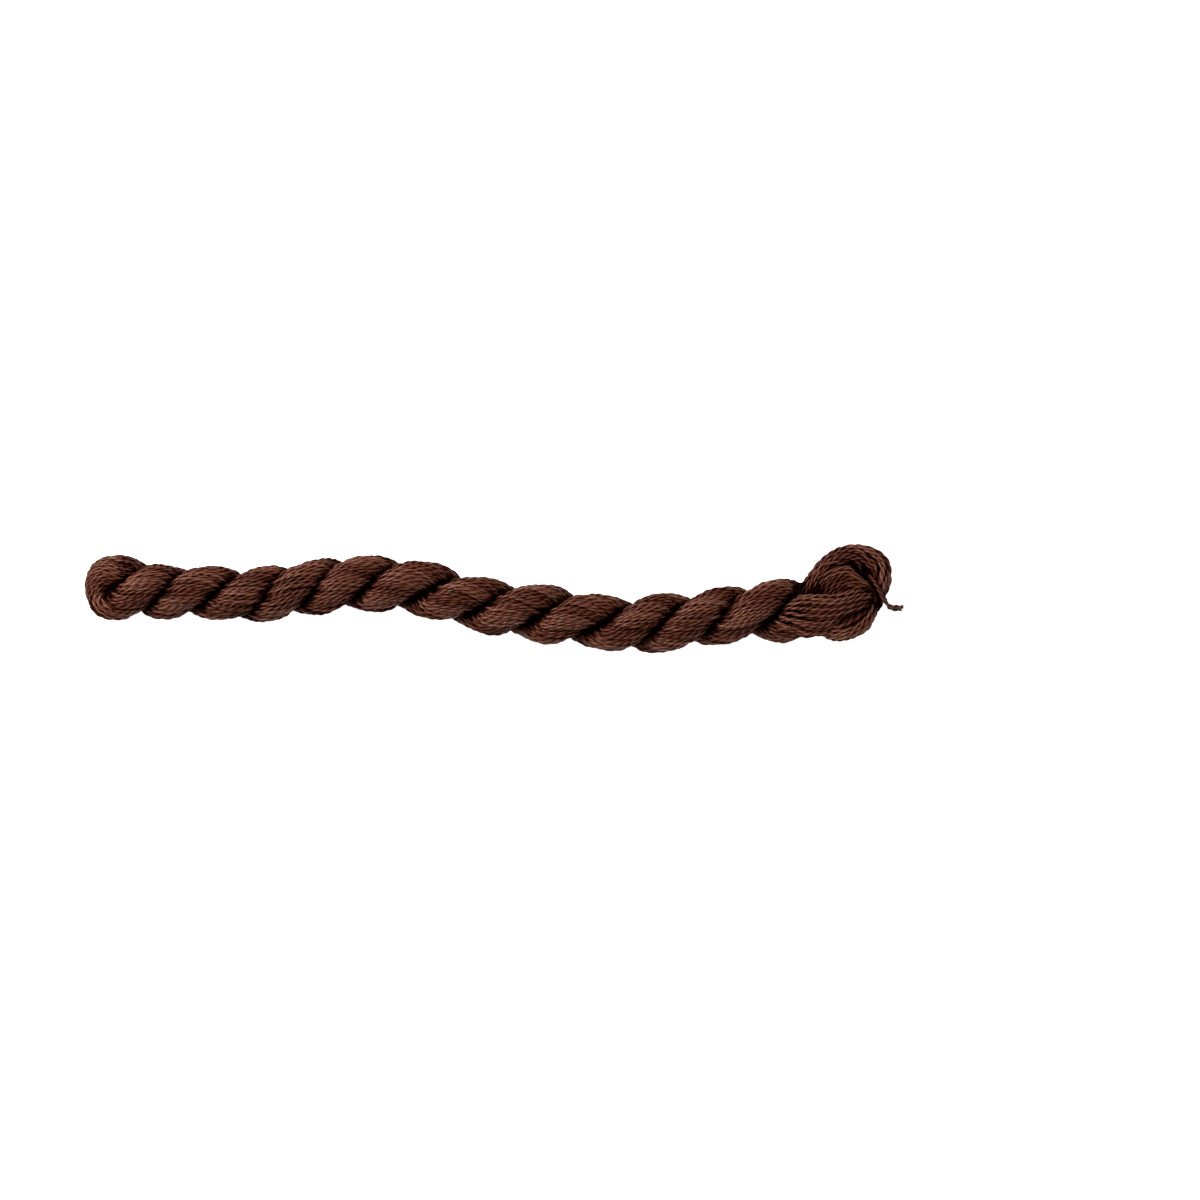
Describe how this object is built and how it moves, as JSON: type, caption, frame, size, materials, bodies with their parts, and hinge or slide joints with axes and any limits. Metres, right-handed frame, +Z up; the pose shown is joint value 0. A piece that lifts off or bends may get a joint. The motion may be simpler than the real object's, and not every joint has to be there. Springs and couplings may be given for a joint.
{
  "type": "skein of embroidery thread",
  "caption": "Dark brown embroidery thread in a hank twisted, folded and twisted on itself, lying flat, with a short piece of the same thread tied through its end loops.",
  "frame": {"origin": "centre of the skein's bounding box, on the surface it lies on", "axes": "+X along the skein from the fold to the tied end loops, +Y across it in the surface, +Z up"},
  "size_m": [0.2409, 0.0321, 0.0156],
  "materials": {
    "silk_thread": "soft low sheen, two-strand thread",
    "tie_thread": "soft low sheen, two-strand thread"
  },
  "bodies": {
    "root": {"skein": "silk_thread", "tie": "tie_thread"}
  },
  "joints": []
}
